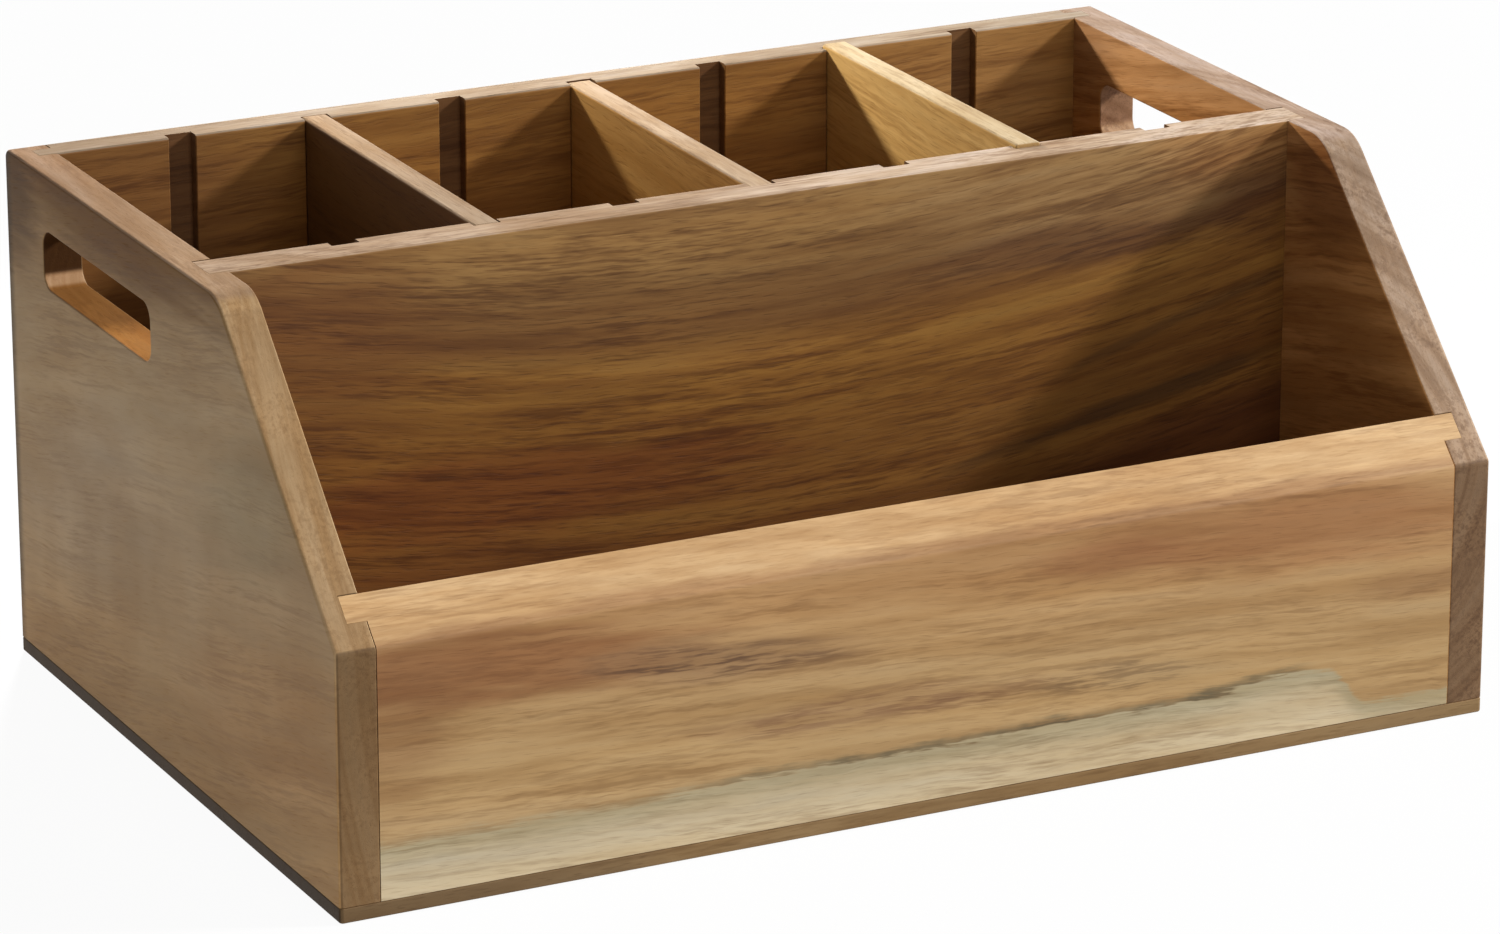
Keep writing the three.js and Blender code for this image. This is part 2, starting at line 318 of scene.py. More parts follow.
def paintSapwood(tree, part, streaks, colour, look):
    along, across = part[0], part[1]
    wander = swing(tree, noise(tree, combine(tree, along, across, 0.0), waves["sapEdge"], 4.0, 0.7))
    wander = times(tree, wander, look["wander"])
    lift = remap(tree, along, look["liftStart"], look["liftEnd"], 0.0, look["lift"])
    notch = remap(tree, along, look["notchStart"], look["notchEnd"], 0.0, -look["notchDrop"])
    edge = plus(tree, plus(tree, wander, lift), plus(tree, notch, look["edge"]))
    above = timesPlus(tree, swing(tree, streaks), look["fray"], minus(tree, across, edge))
    soft = remap(tree, along, look["lineFaint"], look["lineFull"], look["softFar"], look["soft"])
    soft = plus(tree, soft, remap(tree, along, look["liftEnd"], look["notchEnd"], 0.0, look["soft"]))
    sap = remap(tree, above, soft, times(tree, soft, -1.0))
    patchy = noise(tree, combine(tree, along, 0.0, 0.0), waves["sapLine"])
    line = remap(tree, along, look["lineFaint"], look["lineFull"], look["lineLeast"], look["lineShare"])
    line = times(tree, line, remap(tree, patchy, *look["linePatchy"]))
    line = times(tree, line, remap(tree, along, look["notchStart"], look["liftEnd"]))
    line = times(tree, line, remap(tree, above, *look["lineFoot"]), remap(tree, above, *look["lineTop"]))
    tint = blend(tree, remap(tree, above, *look["edgeFade"]), srgb(*look["tint"]), srgb(*look["edgeTint"]))
    tint = blend(tree, remap(tree, above, -look["edge"], look["lowFade"]), srgb(*look["lowTint"]), tint)
    colour = blend(tree, sap, colour, tint)
    return blend(tree, line, colour, srgb(*look["lineTint"])), sap


def paintBands(tree, level, bands):
    low, high = bands[0][0] * mm, bands[-1][0] * mm
    ramp = addNode(tree, "ShaderNodeValToRGB", {0: remap(tree, level, low, high, kind="LINEAR")})
    stops = ramp.color_ramp.elements
    while len(stops) < len(bands):
        stops.new(0.5)
    for stop, (height, tint) in zip(stops, bands):
        stop.position = (height * mm - low) / (high - low)
        stop.color = srgb(*tint)
    return ramp.outputs[0]


def paintPatch(tree, part, streaks, colour, look):
    along, across = (value * mm for value in look["at"])
    lean = times(tree, minus(tree, part[0], along), look["lean"])
    mask = placeGroup(tree, patchGroup, {
        "Vector": combine(tree, part[0], minus(tree, part[1], lean), 0.0),
        "Centre": (along, across, 0.0), "Reach": (look["reach"][0] * mm, look["reach"][1] * mm, 1.0),
        "Ragged": look["ragged"], "Streaks": streaks, "Streaky": look["streaky"],
    })["Mask"]
    return blend(tree, times(tree, mask, look["strength"]), colour, srgb(*look["tint"]))


def paintHoleShading(tree, spot, normal, colour, look):
    # painted light in the hand hole: its wall takes a painted shade or, on the right side, a painted lighter
    # colour, and the bend down to its floor a painted highlight
    hollow = remap(tree, calc(tree, "ABSOLUTE", normal[0]), *facing["hollow"])
    hollow = times(tree, hollow, between(tree, spot[1], *look["depth"]))
    hollow = times(tree, hollow, between(tree, spot[2], *look["height"]))
    floor = remap(tree, normal[2], *facing["hollowFloor"])
    inside = blend(tree, floor, srgb(*look["wallShading"]), srgb(*look["floor"]))
    bendStart, bendEnd = (remap(tree, normal[2], *facing[end]) for end in ("bendStart", "bendEnd"))
    inside = blend(tree, times(tree, bendStart, bendEnd), inside, srgb(*look["bendHighlight"]))
    return blend(tree, hollow, colour, inside), hollow


def paintRimSheenAndShade(tree, spot, normal, grain, along, colour, look):
    # painted sheen and shade: upward faces take the pale rim tint, which stands partly for the wood's paler
    # top edges and partly for a painted sheen; rimFar changes it along the board. Slots and the hand hole
    # take painted shade.
    onRim = remap(tree, normal[2], *facing["rim"])
    lines = noise(tree, grain, waves["rimLines"], 4.0, 0.68)
    mottle = noise(tree, grain, waves["rimMottle"])
    tint = srgb(*look["rimTint"])
    if "rimFar" in look:
        tint = blend(tree, remap(tree, along, *look["rimSpan"]), tint, srgb(*look["rimFar"]))
    if "slopeTint" in look:
        tint = blend(tree, remap(tree, normal[1], *facing["slope"]), tint, srgb(*look["slopeTint"]))
    if "lowStrip" in look:      # the red wood of the face runs on along the foot of the bevel
        strip = look["lowStrip"]
        height = timesPlus(tree, swing(tree, mottle), strip["ragged"], spot[2])
        tint = blend(tree, remap(tree, height, *strip["fade"]), srgb(*strip["tint"]), tint)
    tint = blend(tree, remap(tree, mottle, *rimFigure["mottle"]), tint, rimFigure["mottleShade"], "MULTIPLY")
    tint = blend(tree, remap(tree, lines, *rimFigure["lines"]), tint, rimFigure["lineShade"], "MULTIPLY")
    if "slot" in look:          # painted shade: the milled slots are painted darker, as they lie in shadow
        slotShadeMask = times(tree, between(tree, spot[1], *look["slot"]["band"]), flip(tree, onRim))
        colour = blend(tree, times(tree, slotShadeMask, look["slot"]["share"]), colour, srgb(*look["slot"]["tint"]))
    hollow = 0.0
    if "hollow" in look:
        colour, hollow = paintHoleShading(tree, spot, normal, colour, look["hollow"])
        onRim = times(tree, onRim, flip(tree, hollow))
    return blend(tree, times(tree, onRim, look["rimShare"]), colour, tint), hollow


def woodMaterial(name, look):
    material, tree = newMaterial(name)
    place = tree.nodes.new("ShaderNodeTexCoord").outputs
    spot = split(tree, place["Object"])
    normal = split(tree, place["Normal"])
    turn = {"Vector": place["Object"], "Rotation": look["turn"]}
    grain = addNode(tree, "ShaderNodeMapping", turn).outputs[0]
    part = split(tree, grain)
    figure = placeGroup(tree, figureGroup, {
        "Vector": grain, "Seed": look["seed"], "Slope": look["slope"], "Bow": look["bow"],
        "Bow Centre": look["bowCentre"], "Waviness": look["waviness"], "Ripple": look["ripple"],
        "Ring Width": look["ringWidth"], "Pith Level": look["pith"][0], "Pith Depth": look["pith"][1],
    })
    colour = paintBands(tree, figure["Level"], look["bands"])
    # painted light: faces turned along the given axis take a second copy of the wood, lit or shaded
    # differently from the rest
    if "faceLightCopy" in look:
        outward = vectorCalc(tree, "DOT_PRODUCT", place["Normal"], look["faceLightCopy"]["axis"])[1]
        colour = blend(tree, remap(tree, outward, *facing["faceLightCopy"]), colour, srgb(*look["faceLightCopy"]["tint"]))
    for each in look["patches"]:
        colour = paintPatch(tree, part, figure["Streaks"], colour, each)
    streakDepth, ringDepth = look["streakDepth"], look["ringDepth"]
    if "sapwood" in look:
        colour, sap = paintSapwood(tree, part, figure["Streaks"], colour, look["sapwood"])
        streakDepth = remap(tree, sap, 0.0, 1.0, streakDepth, look["sapwood"]["streakDepth"])
        ringDepth = remap(tree, sap, 0.0, 1.0, ringDepth, look["sapwood"]["ringDepth"])
    colour, hollow = paintRimSheenAndShade(tree, spot, normal, grain, part[0], colour, look)
    endwise = vectorCalc(tree, "DOT_PRODUCT", place["Normal"], look["axis"])[1]
    endGrain = remap(tree, calc(tree, "ABSOLUTE", endwise), *facing["end"])
    endTint = srgb(*look["endTint"])
    if "endTop" in look:
        endTint = blend(tree, remap(tree, spot[2], *look["endSpan"]), endTint, srgb(*look["endTop"]))
    tone = placeGroup(tree, toneGroup, {
        "Color": colour, "Rings": figure["Rings"], "Streaks": figure["Streaks"], "Pores": figure["Pores"],
        "Mottle": figure["Mottle"], "End Grain": times(tree, endGrain, flip(tree, hollow)),
        "Ring Depth": ringDepth, "Streak Depth": streakDepth, "Pore Depth": look["poreDepth"],
        "Mottle Depth": look["mottleDepth"], "Hue Depth": look["hueDepth"], "End Depth": look["endDepth"],
        "End Color": endTint,
    })
    bump = addNode(tree, "ShaderNodeBump", {
        "Strength": look["bumpStrength"], "Distance": look["bumpDepth"], "Height": figure["Height"],
    })
    shader = addNode(tree, "ShaderNodeBsdfPrincipled", {
        "Base Color": tone["Color"], "Roughness": tone["Roughness"], "Normal": bump.outputs[0],
        "Specular IOR Level": look["sheen"],
    })
    addNode(tree, "ShaderNodeOutputMaterial", {"Surface": shader.outputs[0]})
    return material


# mesh

def roundedOutline(corners, steps=8):
    points = []
    for index, (a, b, radius) in enumerate(corners):
        here = Vector((a, b))
        before = (Vector(corners[index - 1][:2]) - here).normalized()
        after = (Vector(corners[(index + 1) % len(corners)][:2]) - here).normalized()
        if radius <= 0:
            points.append(here)
            continue
        half = before.angle(after) / 2
        centre = here + (before + after).normalized() * (radius / math.sin(half))
        first = here + before * (radius / math.tan(half)) - centre
        last = here + after * (radius / math.tan(half)) - centre
        for step in range(steps + 1):
            arm = first.lerp(last, step / steps).normalized() * radius
            points.append(centre + arm)
    apart = nearZero / 10
    return [point for index, point in enumerate(points) if (point - points[index - 1]).length > apart]


def rectangle(low, high):
    return [(low[0], low[1]), (high[0], low[1]), (high[0], high[1]), (low[0], high[1])]


def roundedRectangle(low, high, radius, steps):
    return roundedOutline([(a, b, radius) for a, b in rectangle(low, high)], steps)


def onAxis(axis, along, a, b):
    return {"x": (along, a, b), "y": (a, along, b), "z": (a, b, along)}[axis]


def prism(outline, axis, start, end, shape=None):
    shape = shape or bmesh.new()
    rings = [[shape.verts.new(onAxis(axis, along, *point)) for point in outline] for along in (start, end)]
    faces = [shape.faces.new(rings[0]), shape.faces.new(rings[1])]
    for index in range(len(outline)):
        after = (index + 1) % len(outline)
        faces.append(shape.faces.new((rings[0][index], rings[0][after], rings[1][after], rings[1][index])))
    bmesh.ops.recalc_face_normals(shape, faces=faces)
    return shape


def block(shape, low, high):
    return prism(rectangle(low, high), "z", low[2], high[2], shape)


def turnedShape(profile, sides=32):
    shape = bmesh.new()
    angles = [math.tau * k / sides for k in range(sides)]
    rings = []
    for radius, level in profile:
        if radius == 0:
            rings.append([shape.verts.new((0, 0, level))])
            continue
        spots = [(radius * math.cos(angle), radius * math.sin(angle), level) for angle in angles]
        rings.append([shape.verts.new(spot) for spot in spots])
    faces = []
    for lower, upper in zip(rings, rings[1:]):
        for k in range(sides):
            corners = [lower[k % len(lower)], lower[(k + 1) % len(lower)]]
            corners += [upper[(k + 1) % len(upper)], upper[k % len(upper)]]
            faces.append(shape.faces.new(list(dict.fromkeys(corners))))
    bmesh.ops.recalc_face_normals(shape, faces=faces)
    return shape


def addObject(name, data):
    thing = bpy.data.objects.new(name, data)
    bpy.context.scene.collection.objects.link(thing)
    return thing


def newPiece(name, shape):
    mesh = bpy.data.meshes.new(name)
    shape.to_mesh(mesh)
    shape.free()
    return addObject(name, mesh)


def settle(piece):
    bpy.context.view_layer.update()
    graph = bpy.context.evaluated_depsgraph_get()
    seen = piece.evaluated_get(graph)
    mesh = bpy.data.meshes.new_from_object(seen, preserve_all_data_layers=True, depsgraph=graph)
    old = piece.data
    piece.modifiers.clear()
    piece.data = mesh
    bpy.data.meshes.remove(old)
    mesh.name = piece.name


def cutAway(piece, shape):
    cutter = newPiece(piece.name + "Cutter", shape)
    cut = piece.modifiers.new("cut", "BOOLEAN")
    cut.operation = "DIFFERENCE"
    cut.solver = "EXACT"
    cut.object = cutter
    settle(piece)
    bpy.data.objects.remove(cutter)


creaseAngle = math.radians(30)     # edges sharper than this are eased
flatAngle = math.radians(0.5)


def easeEdges(piece, widest, rule, segments=3):
    shape = bmesh.new()
    shape.from_mesh(piece.data)
    bmesh.ops.remove_doubles(shape, verts=shape.verts, dist=nearZero)
    bmesh.ops.dissolve_limit(shape, angle_limit=flatAngle, verts=shape.verts, edges=shape.edges)
    weights = shape.edges.layers.float.new("bevel_weight_edge")
    for edge in shape.edges:
        if len(edge.link_faces) == 2 and edge.calc_face_angle() > creaseAngle:
            edge[weights] = rule(edge.verts[0].co, edge.verts[1].co) / widest
    shape.to_mesh(piece.data)
    shape.free()
    ease = piece.modifiers.new("ease", "BEVEL")
    ease.limit_method = "WEIGHT"
    ease.width = widest
    ease.segments = segments
    settle(piece)


# eases by one width the edges that lie square to an axis
def easeAround(piece, axis, width):
    def rule(first, second):
        return width if abs(first[axis] - second[axis]) < nearZero else 0.0

    easeEdges(piece, width, rule)


def smoothPiece(piece, angle=32):
    mesh = piece.data
    mesh.polygons.foreach_set("use_smooth", [True] * len(mesh.polygons))
    mesh.set_sharp_from_angle(angle=math.radians(angle))
    even = piece.modifiers.new("even", "WEIGHTED_NORMAL")
    even.keep_sharp = True
    settle(piece)


def finishPiece(piece, material, body, slotName, *nodes):
    piece.data.materials.clear()
    piece.data.materials.append(material)
    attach(piece, body)
    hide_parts(*nodes)
    print(piece.name, len(piece.data.polygons), "faces")


def runTree(piece, tree, values):
    modifier = piece.modifiers.new(tree.name, "NODES")
    modifier.node_group = tree
    for item in tree.interface.items_tree:
        if item.in_out == "INPUT" and item.name in values:
            modifier[item.identifier] = values[item.name]
    settle(piece)


def copyOnPoints(tree, points, shape):
    return addNode(tree, "GeometryNodeInstanceOnPoints", {"Points": points, "Instance": shape}).outputs[0]


def objectShape(tree, thing):
    return addNode(tree, "GeometryNodeObjectInfo", {"Object": thing}).outputs["Geometry"]


def realize(tree, shape):
    return addNode(tree, "GeometryNodeRealizeInstances", {0: shape}).outputs[0]


def finishTree(tree, out, shape, material):
    tree.is_modifier = True
    terms = {"Geometry": realize(tree, shape), "Material": material}
    return fillOutputs(tree, out, {"Geometry": addNode(tree, "GeometryNodeSetMaterial", terms).outputs[0]})


def cutCopies(tree, given, points):
    copies = realize(tree, copyOnPoints(tree, points, objectShape(tree, given["Cutter"])))
    terms = {0: given["Geometry"], 1: copies}
    return addNode(tree, "GeometryNodeMeshBoolean", terms, operation="DIFFERENCE", solver="EXACT").outputs[0]


# boards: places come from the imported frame

frontLow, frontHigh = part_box("front_panel")
backLow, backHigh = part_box("back_panel")
partLow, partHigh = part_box("partition")
baseLow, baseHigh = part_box("base_board")
sideLow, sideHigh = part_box("left_side")
boardBottom = baseHigh.z + 2 * hairline
rim = sideHigh.z
tongueReach = backHigh.x
shoulder = -sideHigh.x - hairline

slope = dict(frontHeight=77 * mm, top=-41 * mm, cornerRound=15 * mm, noseRound=2.2 * mm)
tongue = dict(thickness=6 * mm)
slots = dict(
    count=7, first=-129.3 * mm, pitch=43.1 * mm, width=8.4 * mm, depth=3.8 * mm,
    flare=0.25 * mm, mouth=1 * mm,
)

side = dict(
    backRound=2.5 * mm, edgeRound=1.2 * mm, innerEase=0.6 * mm, holeLength=82 * mm, holeHeight=17.4 * mm,
    holeCorner=5 * mm, holeDrop=16.6 * mm, holeMiddle=49 * mm, holeEase=0.6 * mm, roundSteps=10, easeSteps=4,
)
sideLook = dict(
    woodLook, turn=grainAlongY, axis=axisY, slope=-0.2, waviness=6 * mm, ripple=0.8 * mm, ringWidth=5 * mm,
    pith=(60 * mm, 120 * mm), ringDepth=0.35, streakDepth=0.35, poreDepth=0.08, mottleDepth=0.5,
    hueDepth=0.25, endDepth=0.85,
    # painted shade on the hole's wall and a painted highlight on the bend down to its floor
    hollow=dict(
        depth=(5 * mm, 95 * mm), height=(115 * mm, 142 * mm),
        wallShading=(70, 43, 16), floor=(147, 100, 51), bendHighlight=(184, 146, 108),
    ),
)
leftLook = dict(
    sideLook, seed=3.0, sheen=0.12, slopeTint=(171, 141, 103),
    endTint=(103, 80, 54), endTop=(83, 60, 35), endSpan=(5 * mm, 80 * mm),
    rimTint=(163, 135, 107), rimFar=(137, 111, 88), rimSpan=(-20 * mm, 110 * mm),
    bands=[(-10, (178, 140, 93)), (25, (176, 141, 96)), (70, (170, 142, 106)), (110, (169, 142, 105)),
           (140, (158, 130, 93)), (175, (146, 112, 70))],
    patches=[
        patch((40, 160), (170, 30), (102, 66, 12), strength=0.95, ragged=0.5),
        patch((55, 70), (70, 40), (172, 148, 118), strength=0.6, ragged=0.7, lean=-0.2),
        patch((-65, 100), (50, 28), (152, 133, 100), strength=0.6, ragged=0.7, lean=-0.2),
        patch((-70, 40), (100, 35), (170, 131, 87), strength=0.6, ragged=0.7, lean=-0.2),
        patch((116, 144), (30, 30), (76, 48, 12), strength=0.75, ragged=0.6),
        # painted shade: the rounded back edge is painted dark, where it stands in shadow
        patch((120, 80), (7, 400), (52, 44, 36), strength=0.65, ragged=0.2),
        patch((20, 12), (150, 20), (156, 121, 78), strength=0.6, ragged=0.7),
    ],
)
rightLook = dict(
    sideLook, seed=11.0, endTint=(97, 74, 52), rimTint=(186, 164, 147), slopeTint=(161, 140, 119),
    ringDepth=0.6, streakDepth=0.6, poreDepth=0.2, endDepth=0.95,
    # painted light: the inner face's bands are painted lighter, standing in for light that bounces into its
    # shade; the outer face keeps a plainer colour
    faceLightCopy=dict(axis=axisX, tint=(143, 117, 84)),
    bands=[(-10, (220, 166, 103)), (60, (204, 148, 88)), (110, (175, 122, 69)), (175, (172, 126, 80))],
    patches=[
        patch((-45, 142), (32, 28), (124, 78, 40), strength=0.9, ragged=0.5),
        patch((106, 150), (36, 34), (138, 98, 62), strength=0.8, ragged=0.5),
    ],
    # painted light: the right hole's wall is painted lighter, standing in for the light that reaches it
    hollow=dict(sideLook["hollow"], wallShading=(150, 112, 82)),
)


def makeSide(name, node, hand, look):
    outer, inner = -hand * sideLow.x, -hand * sideHigh.x
    outline = roundedOutline([
        (sideLow.y, boardBottom, 0), (sideLow.y, slope["frontHeight"], slope["noseRound"]),
        (slope["top"], rim, slope["cornerRound"]), (sideHigh.y, rim, side["backRound"]),
        (sideHigh.y, boardBottom, 0),
    ], side["roundSteps"])
    piece = newPiece(name, prism(outline, "x", outer, inner))
    length, height = side["holeLength"] / 2, side["holeHeight"] / 2
    holeMiddle, holeLevel = side["holeMiddle"], rim - side["holeDrop"] - height
    holeLow, holeHigh = (holeMiddle - length, holeLevel - height), (holeMiddle + length, holeLevel + height)
    hole = roundedRectangle(holeLow, holeHigh, side["holeCorner"], side["roundSteps"])
    cutAway(piece, prism(hole, "x", outer + hand * overcut, inner - hand * overcut))

    def rule(first, second):
        slack = 10 * nearZero
        if abs(first.x - second.x) > nearZero or max(first.z, second.z) < boardBottom + slack:
            return 0.0
        acrossHole = abs((first.y + second.y) / 2 - holeMiddle) < length + slack
        if acrossHole and abs((first.z + second.z) / 2 - holeLevel) < height + slack:
            return side["holeEase"]
        return side["edgeRound"] if abs(first.x - outer) < nearZero else side["innerEase"]

    easeEdges(piece, side["edgeRound"], rule, side["easeSteps"])
    housings = bmesh.new()
    near, far = sorted((hand * (tongueReach + hairline), hand * (-sideHigh.x - overcut)))
    for start, end in ((frontHigh.y - tongue["thickness"], frontHigh.y), (partLow.y, partHigh.y),
                       (backLow.y, backLow.y + tongue["thickness"])):
        block(housings, (near, start - hairline, boardBottom - overcut), (far, end + hairline, rim + overcut))
    cutAway(piece, housings)
    smoothPiece(piece)
    finishPiece(piece, woodMaterial(name + "Wood", look), "caddy", "side_wood", node)


makeSide("leftSide", "left_side", -1, leftLook)
makeSide("rightSide", "right_side", 1, rightLook)


def notchEnds(piece, startY, endY):
    notches = bmesh.new()
    for hand in (-1, 1):
        near, far = sorted((hand * shoulder, hand * (tongueReach + overcut)))
        block(notches, (near, startY, boardBottom - overcut), (far, endY, rim + overcut))
    cutAway(piece, notches)


front = dict(rimEase=0.15 * mm)
frontLook = dict(
    woodLook, turn=grainAlongX, axis=axisX, seed=21.0, slope=-0.05, waviness=4 * mm, ripple=0.9 * mm,
    ringWidth=8 * mm, pith=(-120 * mm, 60 * mm), ringDepth=0.38, streakDepth=0.42, poreDepth=0.2,
    mottleDepth=0.3, rimTint=(203, 168, 122), rimShare=0.75,
    lowStrip=dict(tint=(168, 130, 89), fade=(78.2 * mm, 80.8 * mm), ragged=5 * mm),
    bands=[(0, (166, 138, 98)), (30, (163, 132, 88)), (45, (158, 127, 85)), (60, (162, 127, 83)),
           (68, (158, 121, 78)), (77, (150, 112, 70)), (87, (172, 136, 93)), (95, (180, 145, 101))],
    patches=[
        patch((-138, 66), (92, 15), (118, 72, 37), strength=0.75, ragged=0.9, lean=-0.05),
        patch((118, 66), (88, 17), (137, 93, 55), strength=0.75, ragged=0.9, lean=-0.05),
        patch((55, 67), (40, 7), (132, 86, 51), strength=0.5, ragged=1.0, lean=-0.05),
        patch((-66, 57), (58, 9), (128, 96, 64), strength=0.6, ragged=0.9, lean=-0.08),
        patch((-70, 57), (46, 7), (90, 64, 44), strength=0.85, ragged=1.0, lean=-0.08, streaky=0.85),
        patch((158, 44), (30, 6), (128, 92, 56), strength=0.6, ragged=1.0),
        patch((-164, 58), (26, 40), (122, 84, 50), strength=0.5, ragged=0.7),
        patch((-20, 35), (75, 7), (124, 90, 62), strength=0.75, ragged=1.0, lean=-0.03, streaky=0.6),
        patch((60, 31), (40, 6), (104, 79, 52), strength=0.6, ragged=1.1, lean=-0.05, streaky=0.8),
    ],
    sapwood=dict(
        edge=20.3 * mm, wander=5.2 * mm, fray=9 * mm, soft=0.6 * mm, softFar=2.4 * mm,
        lift=2 * mm, liftStart=85 * mm, liftEnd=112 * mm,
        notchStart=127 * mm, notchEnd=141 * mm, notchDrop=12.5 * mm,
        lineFaint=-120 * mm, lineFull=-10 * mm, lineLeast=0.1, lineShare=0.95,
        lineFoot=(-0.6 * mm, 0.3 * mm), lineTop=(3.0 * mm, 0.4 * mm), linePatchy=(0.35, 0.6, 0.55, 1.0),
        edgeFade=(-9 * mm, -1 * mm), lowFade=-8 * mm, streakDepth=0.45, ringDepth=0.16,
        tint=(174, 157, 126), edgeTint=(151, 138, 108), lowTint=(187, 169, 137), lineTint=(92, 82, 60),
    ),
)


def makeFront():
    top = slope["frontHeight"] + (frontHigh.y - frontLow.y)
    outline = roundedOutline([
        (frontLow.y, boardBottom, 0), (frontLow.y, slope["frontHeight"], slope["noseRound"]),
        (frontHigh.y, top, front["rimEase"]), (frontHigh.y, boardBottom, 0),
    ])
    piece = newPiece("frontPanel", prism(outline, "x", -tongueReach, tongueReach))
    notchEnds(piece, frontLow.y - overcut, frontHigh.y - tongue["thickness"])
    smoothPiece(piece)
    finishPiece(piece, woodMaterial("frontWood", frontLook), "caddy", "front_wood", "front_panel")


makeFront()


def buildSlotRow():
    tree, given, out = newTree("slotRow", "GeometryNodeTree", [
        ("Geometry", "Geometry", None), ("Cutter", "Object", None), ("Slots", "Int", 7),
        ("First Slot", "Float", 0.0), ("Pitch", "Float", 0.04), ("Wood", "Material", None),
    ], [("Geometry", "Geometry")])
    row = addNode(tree, "GeometryNodeMeshLine", {
        "Count": given["Slots"], "Start Location": combine(tree, given["First Slot"], 0.0, 0.0),
        "Offset": combine(tree, given["Pitch"], 0.0, 0.0),
    }, mode="OFFSET").outputs[0]
    return finishTree(tree, out, cutCopies(tree, given, row), given["Wood"])


slotRow = buildSlotRow()


def cutSlots(piece, material, face, into):
    half, flare, mouth = slots["width"] / 2, slots["flare"], slots["mouth"]
    wide, before = half + flare + mouth, face - into * mouth
    start, bottom = face + into * flare, face + into * slots["depth"]
    outline = [(-wide, before), (wide, before), (half, start)]
    outline += [(half, bottom), (-half, bottom), (-half, start)]
    cutter = newPiece(piece.name + "Slot", prism(outline, "z", boardBottom - overcut, rim + overcut))
    runTree(piece, slotRow, {
        "Cutter": cutter, "Slots": slots["count"], "First Slot": slots["first"], "Pitch": slots["pitch"],
        "Wood": material,
    })
    bpy.data.objects.remove(cutter)


panel = dict(backRound=2.5 * mm, rimEase=0.8 * mm)
# painted shade: this tint darkens the walls and bottoms of the slots, which lie in shadow
slotShadeLook = dict(tint=(94, 62, 34), share=0.85, start=0.6 * mm, end=5 * mm)     # from the slotted face inwards
backLook = dict(
    woodLook, turn=grainAlongX, axis=axisX, seed=31.0, slope=0.05, pith=(-90 * mm, -60 * mm),
    # painted shade: the outer face takes a duller copy of the wood than the inner face, to make up for the
    # rear lamp close behind it
    ringDepth=0.5, streakDepth=0.6, poreDepth=0.25, faceLightCopy=dict(axis=axisY, tint=(122, 95, 63)),
    rimTint=(145, 131, 114), rimFar=(172, 158, 140), rimSpan=(-150 * mm, 150 * mm),
    slot=dict(slotShadeLook, band=(backLow.y + slotShadeLook["start"], backLow.y + slotShadeLook["end"])),
    bands=[(0, (118, 73, 26)), (60, (124, 78, 28)), (110, (131, 85, 33)), (140, (135, 91, 38)),
           (170, (139, 99, 47))],
    patches=[
        patch((-150, 130), (70, 60), (106, 68, 32), strength=0.7, ragged=0.6),
        patch((130, 140), (70, 50), (158, 118, 68), strength=0.5, ragged=0.6),
    ],
)
partitionLook = dict(
    woodLook, turn=grainAlongX, axis=axisX, seed=41.0, bow=0.6, bowCentre=-5 * mm, waviness=3 * mm,
    ripple=0.6 * mm, ringWidth=6 * mm, pith=(-60 * mm, 80 * mm), ringDepth=0.6, streakDepth=0.75,
    poreDepth=0.4, mottleDepth=0.35, hueDepth=0.3,
    rimTint=(180, 156, 132), rimFar=(213, 191, 169), rimSpan=(-150 * mm, 150 * mm),
    slot=dict(slotShadeLook, band=(partHigh.y - slotShadeLook["end"], partHigh.y - slotShadeLook["start"])),
    bands=[(0, (98, 58, 22)), (40, (104, 60, 22)), (62, (118, 76, 27)), (76, (117, 75, 27)),
           (86, (119, 77, 27)), (96, (125, 83, 30)), (108, (134, 92, 36)), (118, (110, 73, 32)),
           (128, (111, 76, 36)), (138, (129, 95, 51)), (148, (140, 104, 57)), (170, (141, 109, 69))],
    patches=[
        patch((-85, 78), (115, 18), (106, 56, 17), strength=0.75, ragged=0.8),
        patch((-150, 128), (62, 45), (104, 64, 24), strength=0.75, ragged=0.7),
        patch((-100, 38), (120, 34), (116, 69, 27), strength=0.7, ragged=0.7),
        patch((-20, 108), (70, 5), (148, 103, 48), strength=0.5, ragged=1.0, streaky=0.5),
        patch((100, 142), (90, 24), (146, 113, 72), strength=0.6, ragged=0.8),
        # partly a dark band in the wood and partly painted shade, darkening the shadow the right side casts
        # on the partition
        patch((140, 58), (110, 20), (84, 43, 15), strength=0.7, ragged=0.5, lean=0.25),
        patch((120, 76), (80, 4), (46, 24, 9), strength=0.65, ragged=1.2, lean=0.2),
        patch((152, 150), (40, 15), (162, 118, 70), strength=0.6, ragged=0.6),
        patch((98, 127), (68, 9), (86, 52, 22), strength=0.75, ragged=0.9),
        # painted shade: the shadow at the right end of the partition is painted darker and redder
        patch((160, 130), (24, 16), (76, 36, 9), strength=0.5, ragged=0.5),
        patch((140, 101), (55, 3), (62, 38, 18), strength=0.45, ragged=1.5, lean=0.3),
    ],
)


def makeBack():
    outline = roundedOutline([
        (backHigh.y, boardBottom, 0), (backHigh.y, rim, panel["backRound"]),
        (backLow.y, rim, panel["rimEase"]), (backLow.y, boardBottom, 0),
    ])
    piece = newPiece("backPanel", prism(outline, "x", -tongueReach, tongueReach))
    notchEnds(piece, backLow.y + tongue["thickness"], backHigh.y + overcut)
    material = woodMaterial("backWood", backLook)
    cutSlots(piece, material, backLow.y, 1)
    smoothPiece(piece)
    finishPiece(piece, material, "caddy", "panel_wood", "back_panel")


